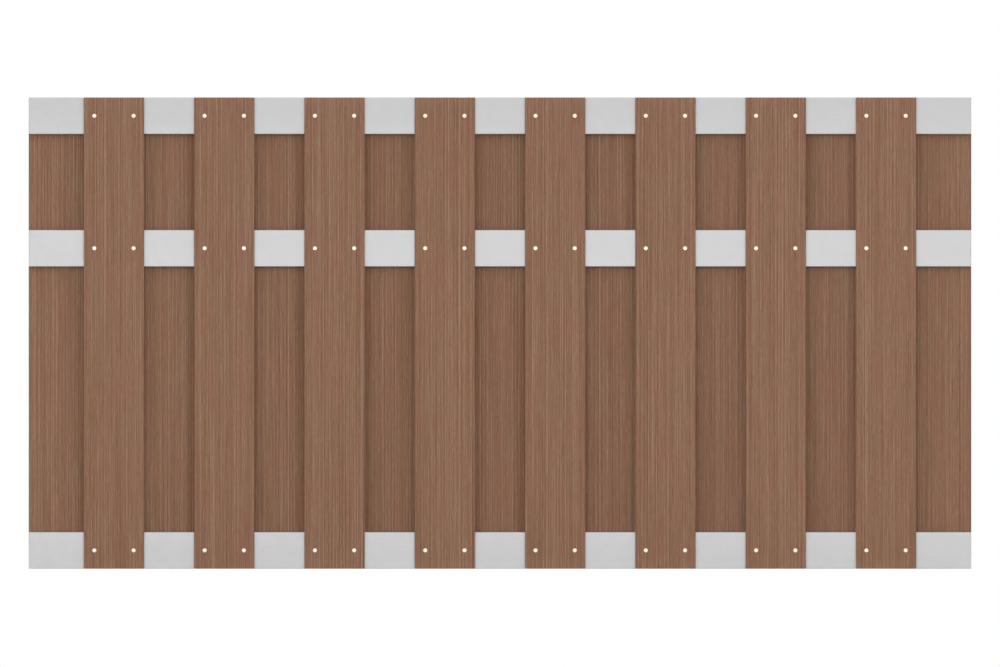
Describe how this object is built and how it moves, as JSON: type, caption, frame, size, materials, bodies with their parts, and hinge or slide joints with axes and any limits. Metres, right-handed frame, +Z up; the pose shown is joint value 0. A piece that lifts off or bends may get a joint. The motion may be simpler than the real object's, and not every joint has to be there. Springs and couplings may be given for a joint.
{
  "type": "fence panel",
  "caption": "Low garden fence panel: upright brown composite boards screwed in turn to the front and back of slim silver aluminium rails, so that each board laps the gap opposite.",
  "frame": {"origin": "on the ground, midway along the panel and midway through the depth of the rails", "axes": "+X along the panel to the right as seen from the front, +Y from the front face to the back, +Z up"},
  "size_m": [1.8, 0.0552, 0.9],
  "materials": {
    "board": "brown wood-plastic composite with a brushed, finely streaked matt face",
    "rail": "extruded, satin anodised, natural silver",
    "cap": "moulded, silver grey, fine matt texture",
    "screw": "bright stainless steel"
  },
  "bodies": {
    "root": {"front_board_1": "board", "front_board_2": "board", "front_board_3": "board", "front_board_4": "board", "front_board_5": "board", "front_board_6": "board", "front_board_7": "board", "front_board_8": "board", "rear_board_1": "board", "rear_board_2": "board", "rear_board_3": "board", "rear_board_4": "board", "rear_board_5": "board", "rear_board_6": "board", "rear_board_7": "board", "rear_board_8": "board", "rear_board_9": "board", "top_rail": "rail", "middle_rail": "rail", "bottom_rail": "rail", "top_left_cap": "cap", "top_right_cap": "cap", "middle_left_cap": "cap", "middle_right_cap": "cap", "bottom_left_cap": "cap", "bottom_right_cap": "cap", "top_front_screws": "screw", "middle_front_screws": "screw", "bottom_front_screws": "screw", "top_rear_screws": "screw", "middle_rear_screws": "screw", "bottom_rear_screws": "screw"}
  },
  "joints": []
}
